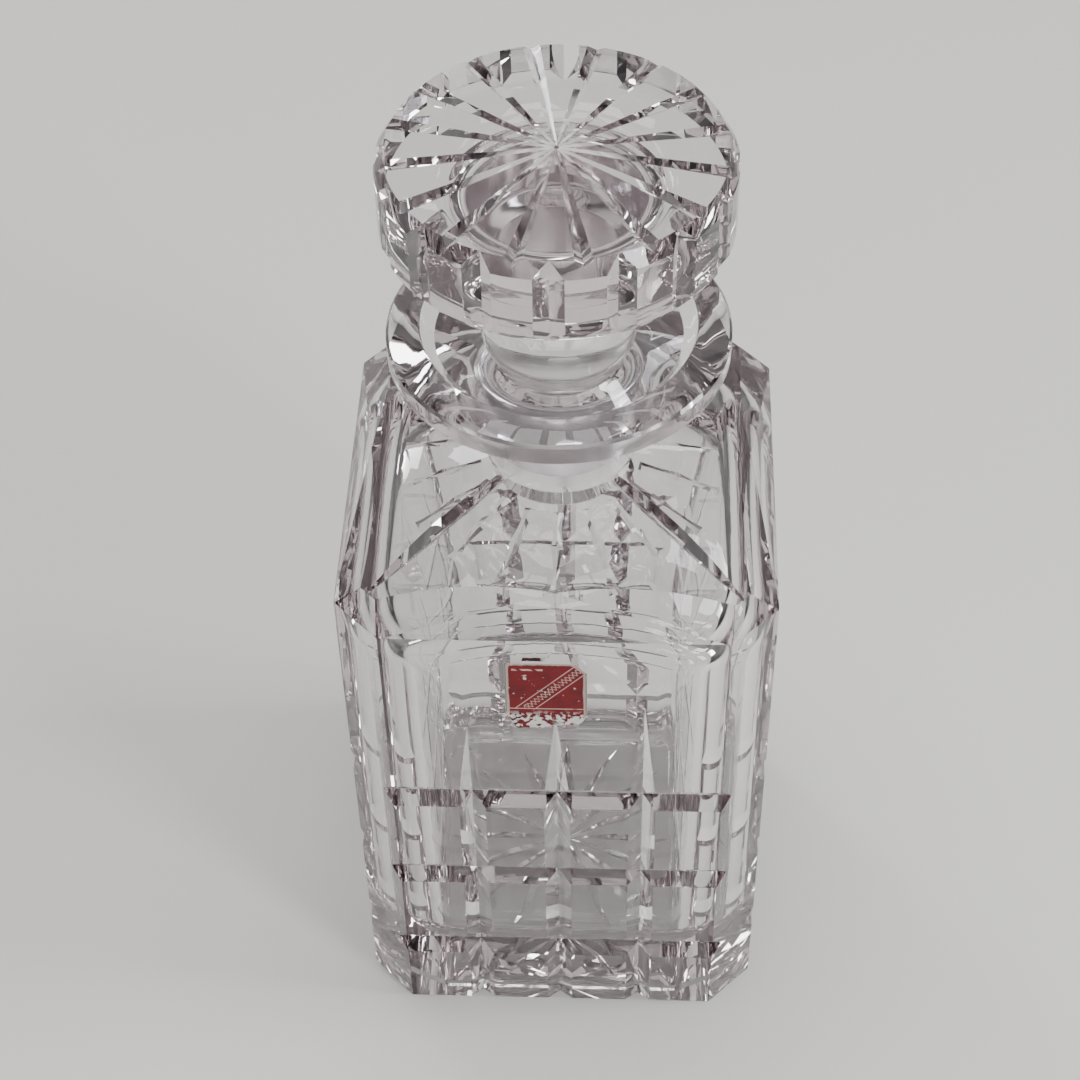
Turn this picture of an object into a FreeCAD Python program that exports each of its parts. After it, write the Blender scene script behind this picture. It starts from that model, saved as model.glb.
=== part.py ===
import FreeCAD, Part
import math
import os
import Sketcher

# Square cut crystal spirit decanter with a round star cut stopper and a foil label.
# The bottle stands on Z = 0 with its axis on Z; its front face looks along -Y.

doc = FreeCAD.newDocument("decanter")

# ---------------------------------------------------------------- driving sizes
sheet = doc.addObject("Spreadsheet::Sheet", "Sizes")
driving_sizes = [
    # bottle block
    ("bodyWidth", 94.0),
    ("cornerCut", 10.0),
    ("edgeHeight", 137.4),
    ("blockTop", 158.0),
    # shoulder: a shallow dome trimmed by flat cuts
    ("domeRadius", 185.0),
    ("domeTop", 151.2),
    ("peakInset", 5.5),
    ("leafYaw", 7.5),
    ("leafTilt", 41.8),
    ("cornerTilt", 53.0),
    ("ridgeStart", 17.0),
    ("ridgeEnd", 56.5),
    # mitre cut grid on the four faces
    ("lowGroove", 23.2),
    ("groovePitch", 29.8),
    ("grooveDepth", 2.2),
    ("grooveHalf", 3.6),
    ("fluteSpacing", 19.2),
    ("fluteHalf", 3.0),
    ("fluteTip", 113.0),
    # hollow of the base with a star in it
    ("footWidth", 8.5),
    ("footDepth", 1.2),
    ("baseRays", 16),
    ("baseRayLength", 36.0),
    ("baseRayDepth", 3.0),
    ("baseRayHalf", 4.6),
    # neck and lip
    ("neckRadius", 16.5),
    ("neckTop", 168.0),
    ("neckRound", 8.0),
    ("lipRadius", 35.9),
    ("lipLow", 178.1),
    ("lipHigh", 183.3),
    ("rimRadius", 28.5),
    ("rimHeight", 184.7),
    ("lipBreak", 0.6),
    # inside
    ("wall", 9.0),
    ("baseThick", 15.0),
    ("cavityCorner", 14.0),
    ("cavityRound", 11.0),
    ("ceilingTop", 143.2),
    ("ceilingSphere", 75.0),
    ("ceilingRound", 9.0),
    ("throatRadius", 15.0),
    ("throatHeight", 148.0),
    ("creaseCount", 18),
    ("creaseHeight", 0.4),
    ("creaseHalf", 1.2),
    ("boreLowRadius", 12.0),
    ("boreTopRadius", 13.4),
    ("boreTop", 176.0),
    # stopper
    ("headRadius", 35.6),
    ("headLow", 209.7),
    ("headTop", 229.2),
    ("headBevelIn", 2.0),
    ("headBevelUp", 3.0),
    ("stemRadius", 16.2),
    ("stemRound", 8.0),
    ("headRound", 7.0),
    ("plugLow", 153.0),
    ("plugTop", 175.6),
    ("plugClearance", 0.15),
    ("starTurn", 10.6),
    ("starRays", 16),
    ("starDepth", 1.5),
    ("starHalf", 1.9),
    ("sideDepth", 2.1),
    ("sideHalf", 3.2),
    # label
    ("labelWidth", 17.6),
    ("labelLow", 109.6),
    ("labelHigh", 133.4),
    ("labelThick", 0.3),
    ("labelShift", -1.9),
    ("labelCorner", 1.8),
]
for row, (alias, value) in enumerate(driving_sizes, start=1):
    sheet.set("A%d" % row, alias)
    sheet.set("B%d" % row, str(value))
    sheet.setAlias("B%d" % row, alias)
doc.recompute()


def size(expression):
    """Value of an expression in the names of the sheet."""
    return float(sheet.evalExpression(expression))


def bound(expression):
    """The same expression as seen from other objects."""
    words = sorted((name for name, _ in driving_sizes), key=len, reverse=True)
    result = expression
    for number, word in enumerate(words):
        result = result.replace(word, "<%d>" % number)
    for number, word in enumerate(words):
        result = result.replace("<%d>" % number, "Sizes." + word)
    return result


# ---------------------------------------------------------------- sketch helpers
def origin_feature(body, role):
    return next(item for item in body.Origin.OriginFeatures if item.Role == role)


def outline(body, name, plane, corners, lift=None, turn=0.0):
    """Closed straight outline whose corners are pairs of size expressions."""
    sketch = body.newObject("Sketcher::SketchObject", name)
    sketch.AttachmentSupport = [(origin_feature(body, plane), "")]
    sketch.MapMode = "FlatFace"
    height = size(lift) if lift else 0.0
    turning = FreeCAD.Rotation(FreeCAD.Vector(0, 0, 1), turn)
    sketch.AttachmentOffset = FreeCAD.Placement(FreeCAD.Vector(0, 0, height), turning)
    if lift:
        sketch.setExpression("AttachmentOffset.Base.z", bound(lift))
    points = [FreeCAD.Vector(size(across), size(up), 0) for across, up in corners]
    count = len(points)
    for number in range(count):
        sketch.addGeometry(Part.LineSegment(points[number], points[(number + 1) % count]), False)
    for number in range(count):
        sketch.addConstraint(Sketcher.Constraint("Coincident", number, 2, (number + 1) % count, 1))
    for number, (across, up) in enumerate(corners):
        for kind, expression, value in (
            ("DistanceX", across, points[number].x),
            ("DistanceY", up, points[number].y),
        ):
            index = sketch.addConstraint(Sketcher.Constraint(kind, -1, 1, number, 1, value))
            sketch.setExpression("Constraints[%d]" % index, bound(expression))
    return sketch


def through_pocket(body, name, sketch, length):
    """Pocket to both sides of its sketch."""
    pocket = body.newObject("PartDesign::Pocket", name)
    pocket.Profile = sketch
    pocket.Midplane = True
    pocket.setExpression("Length", bound(length))
    return pocket


def tapered_cut(body, name, first, second):
    """V cut that changes evenly from one section to another."""
    cut = body.newObject("PartDesign::SubtractiveLoft", name)
    cut.Profile = first
    cut.Sections = [second]
    cut.Ruled = True
    return cut


def revolved(body, kind, name, sketch):
    feature = body.newObject(kind, name)
    feature.Profile = sketch
    feature.ReferenceAxis = (origin_feature(body, "Z_Axis"), [""])
    feature.Angle = 360.0
    return feature


def edges_where(shape, test):
    return ["Edge%d" % (number + 1) for number, edge in enumerate(shape.Edges) if test(edge)]


def round_ring(body, name, feature, radius, height, rounding):
    """Round the circular edge of that radius at that height."""
    def on_ring(edge):
        if not isinstance(edge.Curve, Part.Circle):
            return False
        same_height = abs(edge.Curve.Center.z - size(height)) < 0.01
        return same_height and abs(edge.Curve.Radius - size(radius)) < 0.01

    fillet = body.newObject("PartDesign::Fillet", name)
    fillet.Base = (feature, edges_where(feature.Shape, on_ring))
    fillet.setExpression("Radius", bound(rounding))
    doc.recompute()
    return fillet


def dome_cut(body, name, top, radius, reach, high):
    """Take away everything above a sphere, from the axis out to reach."""
    sketch = body.newObject("Sketcher::SketchObject", name + "Outline")
    sketch.AttachmentSupport = [(origin_feature(body, "XZ_Plane"), "")]
    sketch.MapMode = "FlatFace"
    centre = size(top) - size(radius)
    low = centre + math.sqrt(size(radius) ** 2 - size(reach) ** 2)
    start_angle = math.atan2(low - centre, size(reach))
    corners = [
        FreeCAD.Vector(0, size(top), 0), FreeCAD.Vector(0, size(high), 0),
        FreeCAD.Vector(size(reach), size(high), 0), FreeCAD.Vector(size(reach), low, 0),
    ]
    sketch.addGeometry(Part.ArcOfCircle(
        Part.Circle(FreeCAD.Vector(0, centre, 0), FreeCAD.Vector(0, 0, 1), size(radius)),
        start_angle, math.pi / 2), False)
    for first, second in zip(corners, corners[1:]):
        sketch.addGeometry(Part.LineSegment(first, second), False)
    for number in range(3):
        sketch.addConstraint(Sketcher.Constraint("Coincident", number, 2, number + 1, 1))
    sketch.addConstraint(Sketcher.Constraint("Coincident", 3, 2, 0, 1))
    sketch.addConstraint(Sketcher.Constraint("PointOnObject", 0, 3, -2))
    radius_index = sketch.addConstraint(Sketcher.Constraint("Radius", 0, size(radius)))
    sketch.setExpression("Constraints[%d]" % radius_index, bound(radius))
    top_index = sketch.addConstraint(Sketcher.Constraint("DistanceY", -1, 1, 0, 2, size(top)))
    sketch.setExpression("Constraints[%d]" % top_index, bound(top))
    return revolved(body, "PartDesign::Groove", name, sketch)


def repeat_round(body, name, originals, count):
    """Repeat cuts evenly about the axis of the object."""
    pattern = body.newObject("PartDesign::PolarPattern", name)
    pattern.Originals = originals
    pattern.Axis = (origin_feature(body, "Z_Axis"), [""])
    pattern.Angle = 360.0
    pattern.Occurrences = count
    body.Tip = pattern
    return pattern


def flat_cut(body, name, point, yaw, tilt):
    """Flat cut through a point: tilt leans its outward normal from straight up."""
    cutter = body.newObject("PartDesign::SubtractiveBox", name)
    cutter.setExpression("Length", bound("bodyWidth*2"))
    cutter.setExpression("Width", bound("bodyWidth"))
    cutter.setExpression("Height", bound("bodyWidth/2"))
    leaning = FreeCAD.Rotation(FreeCAD.Vector(1, 0, 0), tilt)
    turning = FreeCAD.Rotation(FreeCAD.Vector(0, 0, 1), yaw).multiply(leaning)
    corner = turning.multVec(FreeCAD.Vector(-size("bodyWidth"), -size("bodyWidth/2"), 0))
    cutter.Placement = FreeCAD.Placement(point.add(corner), turning)
    return cutter


# ---------------------------------------------------------------- outside of the bottle
outer = doc.addObject("PartDesign::Body", "BottleOutside")
half = "bodyWidth/2"
flat_half = "(bodyWidth/2-cornerCut)"
block_sketch = outline(outer, "BlockOutline", "XY_Plane", [
    ("-" + flat_half, "-" + half),
    (flat_half, "-" + half),
    (half, "-" + flat_half),
    (half, flat_half),
    (flat_half, half),
    ("-" + flat_half, half),
    ("-" + half, flat_half),
    ("-" + half, "-" + flat_half),
])
block = outer.newObject("PartDesign::Pad", "Block")
block.Profile = block_sketch
block.setExpression("Length", bound("blockTop"))
doc.recompute()

# dome of the shoulder
dome_cut(outer, "Dome", "domeTop", "domeRadius", "bodyWidth*0.75", "blockTop+5")
doc.recompute()

# flat cuts of the shoulder: a gable and two leaves that meet at a peak over each face,
# a facet over each corner and a shallow V cut down each diagonal
def dome_height(distance):
    return size("domeTop-domeRadius") + math.sqrt(size("domeRadius") ** 2 - distance ** 2)


up = FreeCAD.Vector(0, 0, 1)
peak_distance = size("bodyWidth/2-peakInset")
peak_height = dome_height(peak_distance)
gable_tilt = math.degrees(math.atan2(peak_height - size("edgeHeight"), size("peakInset")))
corner_reach = size("(bodyWidth-cornerCut)/2")
ridge_low = FreeCAD.Vector(0, -size("ridgeEnd"), dome_height(size("ridgeEnd")) - 0.15)
ridge_high = FreeCAD.Vector(0, -size("ridgeStart"), dome_height(size("ridgeStart")) - 1.2)

for side in range(4):
    facing = 90.0 * side
    mark = side + 1
    quarter = FreeCAD.Rotation(up, facing)
    peak = quarter.multVec(FreeCAD.Vector(0, -peak_distance, peak_height))
    corner = quarter.multVec(FreeCAD.Vector(corner_reach, -corner_reach, size("edgeHeight")))
    flat_cut(outer, "Gable%d" % mark, peak, facing, gable_tilt)
    flat_cut(outer, "LeafRight%d" % mark, peak, facing + size("leafYaw"), size("leafTilt"))
    flat_cut(outer, "LeafLeft%d" % mark, peak, facing - size("leafYaw"), size("leafTilt"))
    flat_cut(outer, "CornerFacet%d" % mark, corner, facing + 45.0, size("cornerTilt"))

    eighth = FreeCAD.Rotation(up, facing + 45.0)
    ridge_from = eighth.multVec(ridge_high)
    ridge_line = (eighth.multVec(ridge_low) - ridge_from).normalize()
    across = up.cross(ridge_line).normalize()
    ridge_frame = FreeCAD.Rotation(ridge_line, across, ridge_line.cross(across), "XYZ")
    on_edge = FreeCAD.Rotation(FreeCAD.Vector(1, 0, 0), 45.0)
    diagonal_cut = outer.newObject("PartDesign::SubtractiveBox", "DiagonalCut%d" % mark)
    diagonal_cut.setExpression("Length", bound("ridgeEnd-ridgeStart+16"))
    diagonal_cut.setExpression("Width", bound("cornerCut"))
    diagonal_cut.setExpression("Height", bound("cornerCut"))
    diagonal_cut.Placement = FreeCAD.Placement(
        ridge_from - ridge_line * 4.0, ridge_frame.multiply(on_edge))
doc.recompute()

# three level V grooves, cut right across the face
groove_out = "(bodyWidth/2+1)"
groove_in = "(bodyWidth/2-grooveDepth)"
groove_spread = "grooveHalf*(1+1/grooveDepth)"
groove_cuts = []
for number in range(3):
    level = "(lowGroove+%d*groovePitch)" % number
    groove_sketch = outline(outer, "GrooveOutline%d" % (number + 1), "YZ_Plane", [
        ("-" + groove_in, level),
        ("-" + groove_out, "%s-%s" % (level, groove_spread)),
        ("-" + groove_out, "%s+%s" % (level, groove_spread)),
    ])
    name = "Groove%d" % (number + 1)
    groove_cuts.append(through_pocket(outer, name, groove_sketch, "bodyWidth+10"))
doc.recompute()
repeat_round(outer, "FourGrids", groove_cuts, 4)
doc.recompute()

# three upright V flutes from the foot to above the top groove, where they run out to a point
flute_spread = "fluteHalf*(1+1/grooveDepth)"
top_groove = "(lowGroove+2*groovePitch)"
flute_cuts = []
for number in (-1, 0, 1):
    centre = "%d*fluteSpacing" % number
    mark = number + 2

    def flute_section(name, lift, inner, spread):
        return outline(outer, name, "XY_Plane", [
            (centre, "-" + inner),
            ("%s+%s" % (centre, spread), "-" + groove_out),
            ("%s-%s" % (centre, spread), "-" + groove_out),
        ], lift)

    foot = flute_section("FluteFoot%d" % mark, "-1", groove_in, flute_spread)
    middle = flute_section("FluteMiddle%d" % mark, top_groove, groove_in, flute_spread)
    flute_cuts.append(tapered_cut(outer, "Flute%d" % mark, foot, middle))
    start = flute_section("TipStart%d" % mark, top_groove, groove_in, flute_spread)
    tip = flute_section("TipEnd%d" % mark, "fluteTip+%d" % (4 * number), "(bodyWidth/2+0.02)", "1.4")
    flute_cuts.append(tapered_cut(outer, "FluteTip%d" % mark, start, tip))
doc.recompute()
repeat_round(outer, "FourFlutings", flute_cuts, 4)
doc.recompute()

# shallow hollow under the base, inside a flat foot
hollow_half = "(bodyWidth/2-footWidth)"
hollow_flat = "(bodyWidth/2-footWidth-cornerCut)"
hollow_sketch = outline(outer, "FootHollowOutline", "XY_Plane", [
    ("-" + hollow_flat, "-" + hollow_half),
    (hollow_flat, "-" + hollow_half),
    (hollow_half, "-" + hollow_flat),
    (hollow_half, hollow_flat),
    (hollow_flat, hollow_half),
    ("-" + hollow_flat, hollow_half),
    ("-" + hollow_half, hollow_flat),
    ("-" + hollow_half, "-" + hollow_flat),
])
foot_hollow = outer.newObject("PartDesign::Pocket", "FootHollow")
foot_hollow.Profile = hollow_sketch
foot_hollow.Reversed = True
foot_hollow.setExpression("Length", bound("footDepth"))
doc.recompute()

# star in that hollow: deep where the rays join, running out before its edge
base_centre = outline(outer, "BaseRayCentre", "YZ_Plane", [
    ("0", "footDepth+baseRayDepth"),
    ("-baseRayHalf*(1+1/baseRayDepth)", "footDepth-1"),
    ("baseRayHalf*(1+1/baseRayDepth)", "footDepth-1"),
])
base_end = outline(outer, "BaseRayEnd", "YZ_Plane", [
    ("0", "footDepth+0.02"),
    ("-1.7", "footDepth-1"),
    ("1.7", "footDepth-1"),
], "baseRayLength")
base_ray = tapered_cut(outer, "BaseRay", base_centre, base_end)
doc.recompute()
repeat_round(outer, "BaseStar", [base_ray], int(size("baseRays")))
doc.recompute()

# neck, flare and wide lip
neck_sketch = outline(outer, "NeckOutline", "XZ_Plane", [
    ("0", "edgeHeight"),
    ("neckRadius", "edgeHeight"),
    ("neckRadius", "neckTop"),
    ("lipRadius-3*lipBreak", "lipLow-lipBreak"),
    ("lipRadius", "lipLow+lipBreak"),
    ("lipRadius", "lipHigh-lipBreak"),
    ("lipRadius-lipBreak", "lipHigh"),
    ("rimRadius+lipBreak", "rimHeight"),
    ("0", "rimHeight"),
])
neck = revolved(outer, "PartDesign::Revolution", "NeckAndLip", neck_sketch)
doc.recompute()
round_ring(outer, "NeckRound", neck, "neckRadius", "neckTop", "neckRound")

# ---------------------------------------------------------------- hollow of the bottle
inside = doc.addObject("PartDesign::Body", "BottleInside")
cavity_half = "(bodyWidth/2-wall)"
cavity_sketch = outline(inside, "CavityOutline", "XY_Plane", [
    ("-" + cavity_half, "-" + cavity_half),
    (cavity_half, "-" + cavity_half),
    (cavity_half, cavity_half),
    ("-" + cavity_half, cavity_half),
], "baseThick")
cavity = inside.newObject("PartDesign::Pad", "Cavity")
cavity.Profile = cavity_sketch
cavity.setExpression("Length", bound("ceilingTop+1-baseThick"))
doc.recompute()


def stands_up(edge):
    return edge.BoundBox.ZLength > size("ceilingTop-baseThick")


def on_ceiling(edge):
    return edge.BoundBox.ZMin > size("ceilingTop*0.8")


def on_floor(edge):
    return edge.BoundBox.ZMax < size("baseThick+0.01")


def round_edges(name, feature, test, radius):
    rounding = inside.newObject("PartDesign::Fillet", name)
    rounding.Base = (feature, edges_where(feature.Shape, test))
    rounding.setExpression("Radius", bound(radius))
    doc.recompute()
    return rounding


round_edges("CavityCorners", cavity, stands_up, "cavityCorner")
ceiling = dome_cut(inside, "Ceiling", "ceilingTop", "ceilingSphere", "bodyWidth*0.64", "ceilingTop+3")
doc.recompute()
ceiling_round = round_edges("CavityShoulder", ceiling, on_ceiling, "ceilingRound")
round_edges("CavityFloor", ceiling_round, on_floor, "cavityRound")

bore_sketch = outline(inside, "BoreOutline", "XZ_Plane", [
    ("0", "ceilingTop-6"),
    ("throatRadius", "ceilingTop-6"),
    ("throatRadius", "ceilingTop-(throatRadius^2)/(2*ceilingSphere)-0.1"),
    ("boreLowRadius+0.8", "ceilingTop+1.2"),
    ("boreLowRadius", "throatHeight+2"),
    ("boreTopRadius", "boreTop"),
    ("boreTopRadius+2.2", "boreTop+1.2"),
    ("rimRadius-2.6", "rimHeight-3.2"),
    ("rimRadius", "rimHeight-0.4"),
    ("rimRadius+lipBreak", "rimHeight+0.5"),
    ("0", "rimHeight+0.5"),
])
revolved(inside, "PartDesign::Revolution", "Bore", bore_sketch)
doc.recompute()


# faint radial creases in the ceiling of the hollow, fanning out from the neck
def crease_section(name, out):
    """Low triangle across a crease, its peak creaseHeight above the ceiling."""
    drop = "(ceilingSphere-sqrt(ceilingSphere^2-(%s)^2))" % out
    wide = "creaseHalf*(1+1/creaseHeight)"
    return outline(inside, name, "XZ_Plane", [
        ("0", "ceilingTop+creaseHeight-" + drop),
        ("-" + wide, "ceilingTop-1-" + drop),
        (wide, "ceilingTop-1-" + drop),
    ], out)


crease_high = crease_section("CreaseHigh", "throatRadius+2")
crease_low = [
    crease_section("CreaseMiddle", "throatRadius+10"),
    crease_section("CreaseLow", "throatRadius+19"),
]
crease = inside.newObject("PartDesign::AdditiveLoft", "Crease")
crease.Profile = crease_high
crease.Sections = crease_low
crease.Ruled = True
doc.recompute()
repeat_round(inside, "Creases", [crease], int(size("creaseCount")))
doc.recompute()

bottle = doc.addObject("Part::Cut", "Bottle")
bottle.Label = "bottle"
bottle.Base = outer
bottle.Tool = inside
doc.recompute()

# ---------------------------------------------------------------- stopper
stopper = doc.addObject("PartDesign::Body", "Stopper")
stopper.Label = "stopper"
taper = "(boreTopRadius-boreLowRadius)/(boreTop-throatHeight-2)"
plug_low_radius = "boreLowRadius-plugClearance+(plugLow-throatHeight-2)*" + taper
plug_top_radius = "boreLowRadius-plugClearance+(plugTop-throatHeight-2)*" + taper
stem_height = "(headLow-plugTop)"
stopper_sketch = outline(stopper, "StopperOutline", "XZ_Plane", [
    ("0", "plugLow-1.2"),
    (plug_low_radius + "-1.6", "plugLow-1.2"),
    (plug_low_radius, "plugLow"),
    (plug_top_radius, "plugTop"),
    ("stemRadius", "plugTop+%s*0.2" % stem_height),
    ("stemRadius+1.4", "headLow"),
    ("headRadius-headBevelIn*0.9", "headLow"),
    ("headRadius", "headLow+headBevelUp*0.8"),
    ("headRadius", "headTop-headBevelUp"),
    ("headRadius-headBevelIn", "headTop"),
    ("0", "headTop"),
])
turned = revolved(stopper, "PartDesign::Revolution", "StopperTurned", stopper_sketch)
doc.recompute()
turned = round_ring(stopper, "HeadRound", turned, "stemRadius+1.4", "headLow", "headRound")
round_ring(stopper, "StemRound", turned, "stemRadius", "plugTop+%s*0.2" % stem_height, "stemRound")

# star on the head: shallow at the centre, deepest at the rim
ray_centre = outline(stopper, "RayCentre", "YZ_Plane", [
    ("0", "headTop-0.25"),
    ("-starHalf/starDepth*1.25", "headTop+1"),
    ("starHalf/starDepth*1.25", "headTop+1"),
], "0.5")
ray_rim = outline(stopper, "RayRim", "YZ_Plane", [
    ("0", "headTop-starDepth"),
    ("-starHalf*(1+1/starDepth)", "headTop+1"),
    ("starHalf*(1+1/starDepth)", "headTop+1"),
], "headRadius+1")
star_ray = tapered_cut(stopper, "StarRay", ray_centre, ray_rim)
doc.recompute()
repeat_round(stopper, "Star", [star_ray], int(size("starRays")))
doc.recompute()

# V cuts down the side of the head, half a step from the rays, arching out on the top bevel
side_sketch = outline(stopper, "SideOutline", "XY_Plane", [
    ("headRadius-sideDepth", "0"),
    ("headRadius+1", "sideHalf*(1+1/sideDepth)"),
    ("headRadius+1", "-sideHalf*(1+1/sideDepth)"),
], "headLow-1", 180.0 / size("starRays"))
side_cut = stopper.newObject("PartDesign::Pocket", "SideCut")
side_cut.Profile = side_sketch
side_cut.Reversed = True
side_cut.setExpression("Length", bound("headTop-headLow+2"))
doc.recompute()
repeat_round(stopper, "SideCuts", [side_cut], int(size("starRays")))
doc.recompute()
stopper.Placement = FreeCAD.Placement(
    FreeCAD.Vector(0, 0, 0), FreeCAD.Rotation(FreeCAD.Vector(0, 0, 1), size("starTurn")))
doc.recompute()

# ---------------------------------------------------------------- label
label = doc.addObject("PartDesign::Body", "FoilLabel")
label.Label = "label"
left = "(labelShift-labelWidth/2)"
right = "(labelShift+labelWidth/2)"
label_sketch = outline(label, "LabelOutline", "XZ_Plane", [
    (left + "+labelCorner", "labelLow"),
    (right + "-labelCorner", "labelLow"),
    (right, "labelLow+labelCorner"),
    (right, "labelHigh-labelCorner"),
    (right + "-labelCorner", "labelHigh"),
    (left + "+labelCorner", "labelHigh"),
    (left, "labelHigh-labelCorner"),
    (left, "labelLow+labelCorner"),
], "bodyWidth/2")
foil = label.newObject("PartDesign::Pad", "Foil")
foil.Profile = label_sketch
foil.setExpression("Length", bound("labelThick"))
doc.recompute()

# ---------------------------------------------------------------- checks and export
for item in doc.Objects:
    if "Invalid" in item.State or "Error" in item.State:
        raise RuntimeError("failed: %s %s" % (item.Name, item.State))
pieces = [bottle, stopper, label]
for piece in pieces:
    if piece.Shape.isNull() or not piece.Shape.isValid() or len(piece.Shape.Solids) != 1:
        raise RuntimeError("bad shape: " + piece.Label)
    print(piece.Label, round(piece.Shape.Volume / 1000.0, 2), "cm3", piece.Shape.BoundBox)
print("inside volume", round(inside.Shape.Volume / 1000.0, 1), "cm3")

os.makedirs("parts", exist_ok=True)
for piece in pieces:
    piece.Shape.exportStep("parts/%s.step" % piece.Label)
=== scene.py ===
import math

import bpy
from mathutils import Matrix, Vector, noise


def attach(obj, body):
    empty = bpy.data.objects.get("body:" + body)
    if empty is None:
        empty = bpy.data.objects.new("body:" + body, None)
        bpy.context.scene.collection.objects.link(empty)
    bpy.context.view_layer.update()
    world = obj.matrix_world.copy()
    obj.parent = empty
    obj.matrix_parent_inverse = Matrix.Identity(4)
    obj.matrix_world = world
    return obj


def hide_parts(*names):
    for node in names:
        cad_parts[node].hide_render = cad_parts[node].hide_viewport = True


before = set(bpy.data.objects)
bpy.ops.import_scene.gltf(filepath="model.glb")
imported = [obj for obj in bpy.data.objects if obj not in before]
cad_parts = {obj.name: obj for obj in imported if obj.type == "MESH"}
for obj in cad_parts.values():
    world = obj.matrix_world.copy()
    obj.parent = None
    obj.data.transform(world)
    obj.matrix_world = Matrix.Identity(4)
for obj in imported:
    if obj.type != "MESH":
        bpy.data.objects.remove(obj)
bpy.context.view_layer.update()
print("frame loaded")


class Shade:
    # one socket of a node tree; arithmetic on it adds the nodes
    def __init__(self, tree, socket=None):
        self.tree = tree
        self.socket = socket

    def make(self, kind, settings=None, sockets=None, output=0):
        node = self.tree.nodes.new(kind)
        for name, value in (settings or {}).items():
            setattr(node, name, value)
        for name, value in (sockets or {}).items():
            if isinstance(value, Shade):
                self.tree.links.new(value.socket, node.inputs[name])
            else:
                node.inputs[name].default_value = value
        return Shade(self.tree, node.outputs[output]) if node.outputs else None

    def calculate(self, operation, other, swapped=False):
        first, second = (other, self) if swapped else (self, other)
        return self.make("ShaderNodeMath", {"operation": operation}, {0: first, 1: second})

    def __add__(self, other): return self.calculate("ADD", other)
    def __radd__(self, other): return self.calculate("ADD", other, True)
    def __sub__(self, other): return self.calculate("SUBTRACT", other)
    def __rsub__(self, other): return self.calculate("SUBTRACT", other, True)
    def __mul__(self, other): return self.calculate("MULTIPLY", other)
    def __rmul__(self, other): return self.calculate("MULTIPLY", other, True)

    def least(self, other): return self.calculate("MINIMUM", other)
    def most(self, other): return self.calculate("MAXIMUM", other)
    def power(self, other): return self.calculate("POWER", other)
    def fold(self, length): return self.calculate("PINGPONG", length)
    def size(self): return self.make("ShaderNodeMath", {"operation": "ABSOLUTE"}, {0: self})

    def step(self, low, high):
        # 0 below low, 1 above high, smooth between
        settings = {"interpolation_type": "SMOOTHSTEP"}
        return self.make("ShaderNodeMapRange", settings, {0: self, 1: low, 2: high})

    def band(self, centre, half, soft):
        # 1 within half of centre, fading over soft
        return 1.0 - (self - centre).size().step(half, half + soft)

    def between(self, colourA, colourB):
        # this value picks from colourA (0) to colourB (1)
        return self.make("ShaderNodeMix", {"data_type": "RGBA"}, {0: self, 6: colourA, 7: colourB}, 2)

    def noise(self, scale, detail):
        # cloudy noise at this position
        return self.make("ShaderNodeTexNoise", sockets={
            "Vector": self, "Scale": scale, "Detail": detail})

    def split(self):
        # the three parts of this vector
        node = self.make("ShaderNodeSeparateXYZ", sockets={0: self}).socket.node
        return [Shade(self.tree, output) for output in node.outputs]


def newMaterial(name):
    # an empty material, and the position on the object in metres
    material = bpy.data.materials.new(name)
    material.use_nodes = True
    material.node_tree.nodes.clear()
    shade = Shade(material.node_tree)
    return material, shade, shade.make("ShaderNodeTexCoord", output=3)


def finishMaterial(shade, surface, volume=None):
    output = shade.tree.nodes.new("ShaderNodeOutputMaterial")
    shade.tree.links.new(surface.socket, output.inputs["Surface"])
    if volume:
        shade.tree.links.new(volume.socket, output.inputs["Volume"])


# crystal: clear, with a faint lilac tint that deepens with thickness
crystal = {
    "pieces": ("bottle", "stopper"),
    "ior": 1.54,
    "smoothTo": 15.0,                        # degrees between faces that still look like one
    "joinWithin": 0.000001,                  # metres
    "tint": (0.80, 0.752, 0.765, 1.0),
    "tintDensity": 21.0,
    "clear": (0.985, 0.98, 0.99, 1.0),
    "hazy": (0.955, 0.945, 0.965, 1.0),
    "cloudNoise": (38.0, 3.0),               # scale, detail
    "cloud": (0.35, 0.75), "cloudHaze": 0.6,
    "dustNoise": (900.0, 4.0),
    "dust": (0.62, 0.80), "dustHaze": 0.3,
    "polished": 0.010,                       # roughness, and what dust and grinding add to it
    "dustRough": 0.03,
    "seatRough": 0.16,
    "seat": (0.150, 0.1752),                 # height span of the ground seat in the neck
    "seatFade": 0.0006,
    "seatRadius": 0.0142, "seatEdge": 0.0008,
    "waveNoise": (55.0, 1.0),
    "waveHeight": 0.00009,
    "waveStrength": 0.25,
}


def groundSeat(point):
    # 1 on the ground ring where stopper and neck meet
    x, y, z = point.split()
    low, high = crystal["seat"]
    fade, reach = crystal["seatFade"], crystal["seatRadius"]
    inHeight = z.step(low - fade, low) * (1.0 - z.step(high - fade, high))
    return inHeight * (1.0 - (x * x + y * y).power(0.5).step(reach, reach + crystal["seatEdge"]))


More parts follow.
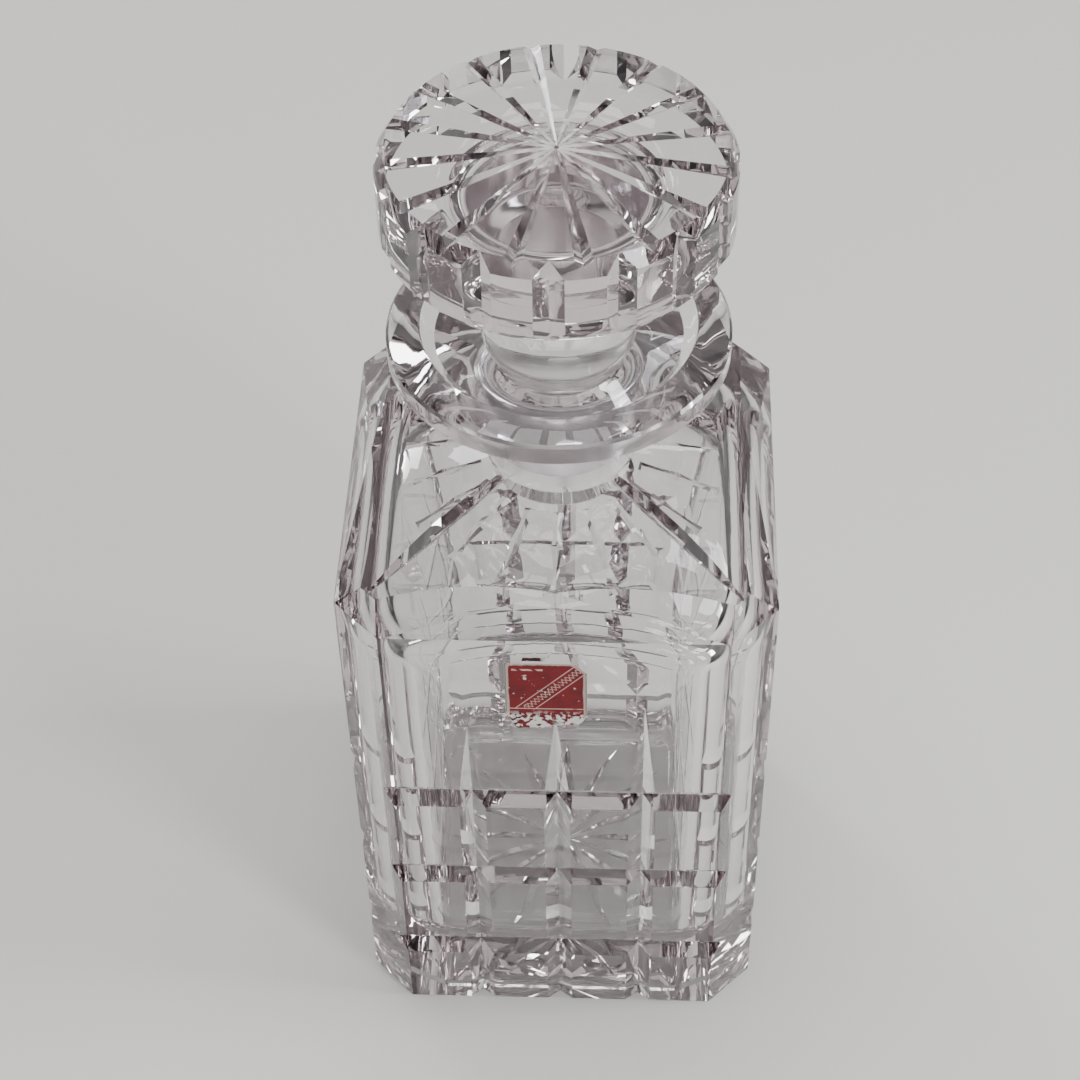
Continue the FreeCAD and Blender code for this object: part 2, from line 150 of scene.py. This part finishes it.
def crystalMaterial(name):
    material, shade, point = newMaterial(name)
    cloud = point.noise(*crystal["cloudNoise"]).step(*crystal["cloud"])
    dust = point.noise(*crystal["dustNoise"]).step(*crystal["dust"])
    haze = cloud * crystal["cloudHaze"] + dust * crystal["dustHaze"]
    rough = crystal["polished"] + dust * crystal["dustRough"] + groundSeat(point) * crystal["seatRough"]
    waves = shade.make("ShaderNodeBump", sockets={
        "Strength": crystal["waveStrength"], "Distance": crystal["waveHeight"],
        "Height": point.noise(*crystal["waveNoise"])})
    surface = shade.make("ShaderNodeBsdfPrincipled", sockets={
        "Base Color": haze.between(crystal["clear"], crystal["hazy"]),
        "Roughness": rough, "Normal": waves,
        "IOR": crystal["ior"], "Transmission Weight": 1.0})
    volume = shade.make("ShaderNodeVolumeAbsorption", sockets={
        "Color": crystal["tint"], "Density": crystal["tintDensity"]})
    finishMaterial(shade, surface, volume)
    return material


def shadeByAngle(piece, degrees):
    # joins the split surfaces again: flats stay flat, turned faces look smooth
    group = bpy.data.node_groups.new("shadeByAngle", "GeometryNodeTree")
    group.interface.new_socket("Geometry", in_out="INPUT", socket_type="NodeSocketGeometry")
    group.interface.new_socket("Geometry", in_out="OUTPUT", socket_type="NodeSocketGeometry")
    tree = Shade(group)
    mesh = tree.make("NodeGroupInput")
    mesh = tree.make("GeometryNodeMergeByDistance", sockets={
        "Geometry": mesh, "Distance": crystal["joinWithin"]})
    mesh = tree.make("GeometryNodeRemoveAttribute", sockets={"Geometry": mesh, "Name": "custom_normal"})
    mesh = tree.make("GeometryNodeSetShadeSmooth", {"domain": "FACE"}, {
        "Geometry": mesh, "Shade Smooth": True})
    bend = tree.make("GeometryNodeInputMeshEdgeAngle")
    mesh = tree.make("GeometryNodeSetShadeSmooth", {"domain": "EDGE"}, {
        "Geometry": mesh, "Selection": bend.calculate("GREATER_THAN", math.radians(degrees)),
        "Shade Smooth": False})
    tree.make("NodeGroupOutput", sockets={"Geometry": mesh})
    piece.modifiers.new("shadeByAngle", "NODES").node_group = group


for name in crystal["pieces"]:
    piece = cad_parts[name]
    piece.data.materials.clear()
    piece.data.materials.append(crystalMaterial(name + "Crystal"))
    shadeByAngle(piece, crystal["smoothTo"])
print("crystal finished")

# worn foil label on the front face: torn top, flaked bottom, plain printed rules
label = {
    "left": -0.0107, "right": 0.0069,        # across the face
    "top": 0.1304, "low": 0.1115,            # of the sound part
    "glass": -0.04702,                       # face of the bottle, with a hair of glue
    "thick": 0.00011,
    "columns": 110, "rows": 130,

    # outline; a corner is depth and width, a span is where a change starts and ends
    "topCorners": ((0.0008, 0.0008), (0.0029, 0.0027)),
    "lowCorners": ((0.0019, 0.0016), (0.0012, 0.0012)),
    "tornFrom": (-0.0072, -0.0066), "tornTo": (0.0028, 0.0036),
    "tornHeight": 0.0019,
    "tornStep": 0.0013, "tornStepAt": (-0.0016, -0.0006),
    "flakedFrom": (-0.0098, -0.0080), "flakedTo": (0.0045, 0.0062),
    "flakedDepth": 0.0027,
    "flakedEase": 0.45, "flakedEaseAt": (-0.0035, 0.0005),
    "tornRagged": (0.00022, 1100.0, 2.0),    # height, scale, seed
    "topRagged": (0.00005, 1800.0, 5.0),
    "lowRagged": (0.00035, 750.0, 9.0),
    "sideRagged": (0.00006, 1500.0, 60.0, 2.0),

    # how far the foil stands off the glass
    "lift": 0.6,
    "wrinkle": 0.00005,
    "wrinkleLarge": (420.0, 260.0, 1.7),     # scale across, scale in height, seed
    "wrinkleSmall": (900.0, 1200.0, 6.2),
    "wrinkleMix": 0.6,
    "curl": 0.00010,
    "curlTop": 0.0016, "curlLow": 0.0022,    # width of the lifted edges
    "curlRagged": (0.4, 500.0, 3.0),

    # colours and noises
    "red": (0.20, 0.003, 0.009, 1.0),
    "darkRed": (0.045, 0.003, 0.006, 1.0),
    "edge": (0.55, 0.44, 0.39, 1.0),
    "edgeLine": (0.26, 0.25, 0.21, 1.0),
    "paper": (0.84, 0.82, 0.78, 1.0),
    "print": (0.72, 0.50, 0.44, 1.0),
    "fineNoise": (900.0, 5.0),               # scale, detail
    "coarseNoise": (260.0, 4.0),
    "cellScale": 1300.0,
    "wobbleAcross": 0.0006, "wobbleHeight": 0.0005,

    # red field: spans where each side fades, on x, z, x + z and z - x
    "fieldLeft": (-0.0099, -0.0097), "fieldRight": (0.0060, 0.0062),
    "fieldTop": (0.1297, 0.1300),
    "fieldTopRight": (0.1333, 0.1336), "fieldTopLeft": (0.1390, 0.1393),
    "leftLine": (-0.01045, 0.00008, 0.00010),   # a band is centre, half width, fade
    "rightLine": (0.00665, 0.00008, 0.00010),

    # bare paper: a strip at the top, flakes at the bottom, specks all over
    "stripFrom": (0.1303, 0.1306),
    "stripInk": (0.1318, 0.00050, 0.0002), "stripInkEnd": (-0.0020, -0.0012),
    "stripWear": (0.38, 0.50),
    "flakesTo": (0.1125, 0.1150), "flakesWobble": 0.003,
    "flakeShare": (0.70, 0.78), "flakeCells": 0.7, "flakeFine": 0.8,
    "cornerTo": (0.1108, 0.1124), "cornerFrom": (-0.0010, 0.0010), "cornerWear": (0.40, 0.52),
    "speckShare": (1.12, 1.16), "speckCells": 0.55, "speckStrength": 0.8,

    # print: a slanting band of two rules with small diamonds between, and two level rules
    "slantUp": 0.67, "slantAcross": 0.743, "slantPlace": 0.08208,
    "ruleBand": (0.00162, 0.00006, 0.00010),
    "diamondPitch": 0.0011, "diamondShape": 1.6, "diamondStrength": 0.9,
    "diamondBand": (0.00078, 0.00013, 0.00008),
    "dashBand": (0.1283, 0.00022, 0.00012),
    "dashFrom": (-0.0092, -0.0090), "dashTo": (-0.0026, -0.0024),
    "dashScale": 900.0, "dashGap": (0.2, 0.4),
    "sillBand": (0.1154, 0.00009, 0.00010), "sillAbove": (0.1154, 0.1156),
    "inkWear": (0.30, 0.42),

    # wear and shine
    "wornCoarse": (0.45, 0.80), "wornShare": 0.5, "wornFine": (0.45, 0.60),
    "frontFrom": (0.00007, 0.00003),         # depth past the glass where the printed side starts
    "rough": 0.78, "foilShine": 0.40, "fineRough": 0.12,
    "metallic": 0.45,
    "crumpleStrength": 0.7, "crumpleHeight": 0.00012,
    "crumpleFine": 0.6, "crumpleCoarse": 0.8, "crumpleBare": 0.7, "crumpleInk": 0.2,
}


def ragged(x, height, scale, seed):
    # uneven torn line, about as high as height either way
    large = noise.noise(Vector((x * scale, seed, 0.3)))
    small = noise.noise(Vector((x * scale * 2.7, seed, 4.1)))
    return height * (large + 0.5 * small)


def ramp(value, low, high):
    share = min(max((value - low) / (high - low), 0.0), 1.0)
    return share * share * (3.0 - 2.0 * share)


def cornerCut(x, corners):
    # height that the worn left and right corners take off
    (leftDepth, leftWidth), (rightDepth, rightWidth) = corners
    cut = leftDepth * (1.0 - ramp(x, label["left"], label["left"] + leftWidth))
    return cut + rightDepth * ramp(x, label["right"] - rightWidth, label["right"])


def labelTop(x):
    torn = ramp(x, *label["tornFrom"]) * (1.0 - ramp(x, *label["tornTo"]))
    highest = label["tornHeight"] + label["tornStep"] * ramp(x, *label["tornStepAt"])
    sound = label["top"] - cornerCut(x, label["topCorners"])
    return sound + torn * (highest + ragged(x, *label["tornRagged"])) + ragged(x, *label["topRagged"])


def labelLow(x):
    flaked = ramp(x, *label["flakedFrom"]) * (1.0 - ramp(x, *label["flakedTo"]))
    flaked *= 1.0 - label["flakedEase"] * ramp(x, *label["flakedEaseAt"])
    sound = label["low"] + cornerCut(x, label["lowCorners"])
    return sound - label["flakedDepth"] * flaked + ragged(x, *label["lowRagged"])


def wrinkleNoise(x, z, across, upward, seed):
    return noise.noise(Vector((x * across, z * upward, seed)))


def labelLift(x, z):
    # wrinkles, and lifted torn edges
    wrinkle = 1.0 + wrinkleNoise(x, z, *label["wrinkleLarge"])
    wrinkle += label["wrinkleMix"] * wrinkleNoise(x, z, *label["wrinkleSmall"])
    top, low = labelTop(x), labelLow(x)
    edge = max(ramp(z, top - label["curlTop"], top), 1.0 - ramp(z, low, low + label["curlLow"]))
    curl = edge * (0.6 + ragged(x, *label["curlRagged"]))
    return label["lift"] * (label["wrinkle"] * wrinkle * (0.5 + edge) + label["curl"] * curl)


def sideRim(x, z):
    # uneven left and right edges
    height, upward, across, seed = label["sideRagged"]
    return height * noise.noise(Vector((z * upward, x * across, seed)))


def foilLabel():
    columns, rows = label["columns"], label["rows"]
    points, faces = [], []
    for layer in range(2):                   # back against the glass, then front
        for column in range(columns + 1):
            x = label["left"] + (label["right"] - label["left"]) * column / columns
            low, top = labelLow(x), labelTop(x)
            for row in range(rows + 1):
                z = low + (top - low) * row / rows
                rim = sideRim(x, z) if column in (0, columns) else 0.0
                y = label["glass"] - labelLift(x, z) - label["thick"] * layer
                points.append((x + rim, y, z))
    stride = rows + 1
    count = (columns + 1) * stride           # points in one layer
    for column in range(columns):
        for row in range(rows):
            corner = column * stride + row
            quad = (corner, corner + stride, corner + stride + 1, corner + 1)
            faces.append(tuple(reversed(quad)))
            faces.append(tuple(count + number for number in quad))
    border = [column * stride for column in range(columns)]
    border += [columns * stride + row for row in range(rows)]
    border += [column * stride + rows for column in range(columns, 0, -1)]
    border += list(range(rows, 0, -1))
    for first, second in zip(border, border[1:] + border[:1]):
        faces.append((first, second, second + count, first + count))
    mesh = bpy.data.meshes.new("foilLabel")
    mesh.from_pydata(points, [], faces)
    mesh.validate()
    mesh.shade_smooth()
    piece = bpy.data.objects.new("foilLabel", mesh)
    bpy.context.collection.objects.link(piece)
    return piece


def labelMaterial():
    material, shade, point = newMaterial("redFoil")
    x, y, z = point.split()
    fine = point.noise(*label["fineNoise"])
    coarse = point.noise(*label["coarseNoise"])
    cellColour = shade.make("ShaderNodeTexVoronoi", sockets={
        "Vector": point, "Scale": label["cellScale"]}, output=1)
    cells = shade.make("ShaderNodeSeparateColor", sockets={0: cellColour})
    across = x + (coarse - 0.5) * label["wobbleAcross"]
    height = z + (fine - 0.5) * label["wobbleHeight"]

    # sound red field inside the pale edge
    field = across.step(*label["fieldLeft"]) * (1.0 - across.step(*label["fieldRight"]))
    field = field * (1.0 - height.step(*label["fieldTop"]))
    field = field * (1.0 - (x + z).step(*label["fieldTopRight"]))
    field = field * (1.0 - (z - x).step(*label["fieldTopLeft"]))
    edgeLines = x.band(*label["leftLine"]).most(x.band(*label["rightLine"]))

    # paper shows where the foil has torn off
    topStrip = z.step(*label["stripFrom"])
    stripInk = z.band(*label["stripInk"]) * (1.0 - x.step(*label["stripInkEnd"]))
    stripInk = stripInk * coarse.step(*label["stripWear"])
    flaking = 1.0 - (z + (fine - 0.5) * label["flakesWobble"]).step(*label["flakesTo"])
    flakes = (cells * label["flakeCells"] + fine * label["flakeFine"]).step(*label["flakeShare"])
    lostCorner = (1.0 - z.step(*label["cornerTo"])) * x.step(*label["cornerFrom"])
    flakes = (flaking * flakes).most(lostCorner * coarse.step(*label["cornerWear"]))
    specks = (cells * label["speckCells"] + fine).step(*label["speckShare"]) * label["speckStrength"]
    bare = (topStrip * (1.0 - stripInk)).most(flakes).most(specks)

    # plain print
    slant = (z * label["slantUp"] - x * label["slantAcross"] - label["slantPlace"]).size()
    beat = (z * label["slantAcross"] + x * label["slantUp"]).fold(label["diamondPitch"])
    fromCentre = (beat - label["diamondPitch"] / 2.0).size()
    diamonds = (slant + fromCentre * label["diamondShape"]).band(*label["diamondBand"])
    slantPrint = slant.band(*label["ruleBand"]).most(diamonds * label["diamondStrength"])
    slantPrint = slantPrint * z.step(*label["sillAbove"]) * field
    dashes = z.band(*label["dashBand"]) * (1.0 - x.step(*label["dashTo"])) * x.step(*label["dashFrom"])
    dashes = dashes * (beat * label["dashScale"]).step(*label["dashGap"])
    ink = slantPrint.most(dashes).most(z.band(*label["sillBand"]) * field)
    ink = ink * fine.step(*label["inkWear"])

    # colours from the lowest layer up
    worn = coarse.step(*label["wornCoarse"]) * label["wornShare"]
    worn = (worn + flaking * fine.step(*label["wornFine"])).least(1.0)
    edgeColour = edgeLines.between(label["edge"], label["edgeLine"])
    colour = ink.between(worn.between(label["red"], label["darkRed"]), label["print"])
    colour = field.between(edgeColour, colour)
    colour = topStrip.between(colour, stripInk.between(label["paper"], label["darkRed"]))
    colour = bare.between(colour, label["paper"])
    outer, inner = label["frontFrom"]
    front = 1.0 - y.step(label["glass"] - outer, label["glass"] - inner)
    colour = front.between(label["paper"], colour)

    shine = field * (1.0 - bare) * (1.0 - ink) * front
    crumple = fine * label["crumpleFine"] + coarse * label["crumpleCoarse"]
    crumple = crumple + bare * label["crumpleBare"] - ink * label["crumpleInk"]
    bump = shade.make("ShaderNodeBump", sockets={
        "Strength": label["crumpleStrength"], "Distance": label["crumpleHeight"], "Height": crumple})
    surface = shade.make("ShaderNodeBsdfPrincipled", sockets={
        "Base Color": colour,
        "Roughness": label["rough"] - shine * label["foilShine"] + fine * label["fineRough"],
        "Metallic": shine * label["metallic"], "Normal": bump})
    finishMaterial(shade, surface)
    return material


labelPiece = foilLabel()
labelPiece.data.materials.append(labelMaterial())
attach(labelPiece, "bottle")
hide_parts("label")
print("label finished")

# pale table under the bottle
table = {
    "half": 8.0,
    "gap": 0.0002,                           # a hair of air under the glass
    "pale": (0.72, 0.712, 0.672, 1.0),
    "darker": (0.675, 0.665, 0.628, 1.0),
    "mottleNoise": (6.0, 5.0),               # scale, detail
    "rough": 0.55, "mottleRough": 0.1,
}


def tableTop():
    mesh = bpy.data.meshes.new("tableTop")
    half, height = table["half"], -table["gap"]
    corners = [(-half, -half), (half, -half), (half, half), (-half, half)]
    mesh.from_pydata([(x, y, height) for x, y in corners], [], [(0, 1, 2, 3)])
    piece = bpy.data.objects.new("tableTop", mesh)
    bpy.context.collection.objects.link(piece)
    return piece


def tableMaterial():
    material, shade, point = newMaterial("paleTable")
    mottle = point.noise(*table["mottleNoise"])
    surface = shade.make("ShaderNodeBsdfPrincipled", sockets={
        "Base Color": mottle.between(table["pale"], table["darker"]),
        "Roughness": table["rough"] + mottle * table["mottleRough"]})
    finishMaterial(shade, surface)
    return material


floor = tableTop()
floor.data.materials.append(tableMaterial())
print("table finished")

# soft light
lights = {
    # name: place, aims at, width, height, watts, colour
    "windowBack": ((1.30, -0.02, 0.90), (0.0, 0.0, 0.15), 0.38, 0.60, 14.0, (0.95, 0.97, 1.0)),
    "windowRight": ((0.85, -0.75, 0.62), (0.0, 0.0, 0.16), 0.22, 0.46, 8.0, (0.93, 0.96, 1.0)),
    "windowLeft": ((-0.90, 1.10, 0.75), (0.0, 0.0, 0.15), 0.30, 0.50, 6.0, (0.95, 0.97, 1.0)),
    "ceiling": ((-0.1, 0.1, 2.0), (0.0, 0.0, 0.1), 1.3, 1.3, 28.0, (1.0, 0.985, 0.96)),
}
for name, (spot, aim, width, height, watts, colour) in lights.items():
    lamp = bpy.data.lights.new(name, "AREA")
    lamp.shape = "RECTANGLE"
    lamp.size = width
    lamp.size_y = height
    lamp.energy = watts
    lamp.color = colour
    holder = bpy.data.objects.new(name, lamp)
    bpy.context.collection.objects.link(holder)
    holder.location = spot
    holder.rotation_euler = (Vector(aim) - Vector(spot)).to_track_quat("-Z", "Y").to_euler()

# the room round the glass: lit from above, a pale wall behind, uneven elsewhere
room = {
    "above": (0.35, 0.85), "aboveLight": 0.55,
    "wall": (-0.2, 0.7), "wallTop": (0.3, 0.7), "wallLight": 0.30,
    "patchNoise": (2.2, 2.0),                # scale, detail
    "patch": (0.46, 0.62), "patchLight": 0.22,
    "base": 0.08, "lowest": 0.03,
    "dark": (0.02, 0.02, 0.022, 1.0),
    "bright": (0.80, 0.79, 0.78, 1.0),
    "strength": 0.7,
}


def roomLight():
    world = bpy.data.worlds.new("room")
    world.use_nodes = True
    world.node_tree.nodes.clear()
    air = Shade(world.node_tree)
    direction = air.make("ShaderNodeTexCoord", output=0)
    depth, up = direction.split()[1:]
    above = up.step(*room["above"]) * room["aboveLight"]
    wall = depth.step(*room["wall"]) * (1.0 - up.step(*room["wallTop"])) * room["wallLight"]
    patches = (direction.noise(*room["patchNoise"]).step(*room["patch"]) - 0.5) * room["patchLight"]
    level = (above + wall + patches + room["base"]).most(room["lowest"]).least(1.0)
    colour = level.between(room["dark"], room["bright"])
    background = air.make("ShaderNodeBackground", sockets={
        "Color": colour, "Strength": room["strength"]})
    output = world.node_tree.nodes.new("ShaderNodeOutputWorld")
    world.node_tree.links.new(background.socket, output.inputs["Surface"])
    return world


bpy.context.scene.world = roomLight()
print("light set")

# camera, above the front face
view = {
    "spot": (0.0150, -0.3651, 0.5123),       # metres
    "down": 47.18,                           # degrees
    "turn": 3.13,
    "roll": -1.36,
    "lens": 78.87, "sensor": 36.0,           # millimetres
    "near": 0.01,
}
lens = bpy.data.cameras.new("camera")
lens.sensor_width = view["sensor"]
lens.lens = view["lens"]
lens.clip_start = view["near"]
camera = bpy.data.objects.new("camera", lens)
bpy.context.collection.objects.link(camera)
camera.matrix_world = (
    Matrix.Translation(view["spot"])
    @ Matrix.Rotation(math.radians(view["turn"]), 4, "Z")
    @ Matrix.Rotation(math.radians(90.0 - view["down"]), 4, "X")
    @ Matrix.Rotation(math.radians(view["roll"]), 4, "Z"))
bpy.context.scene.camera = camera
print("camera set")

# glass needs long light paths
lightPaths = {"max_bounces": 32, "transmission_bounces": 32, "glossy_bounces": 16}
for name, bounces in lightPaths.items():
    setattr(bpy.context.scene.cycles, name, bounces)
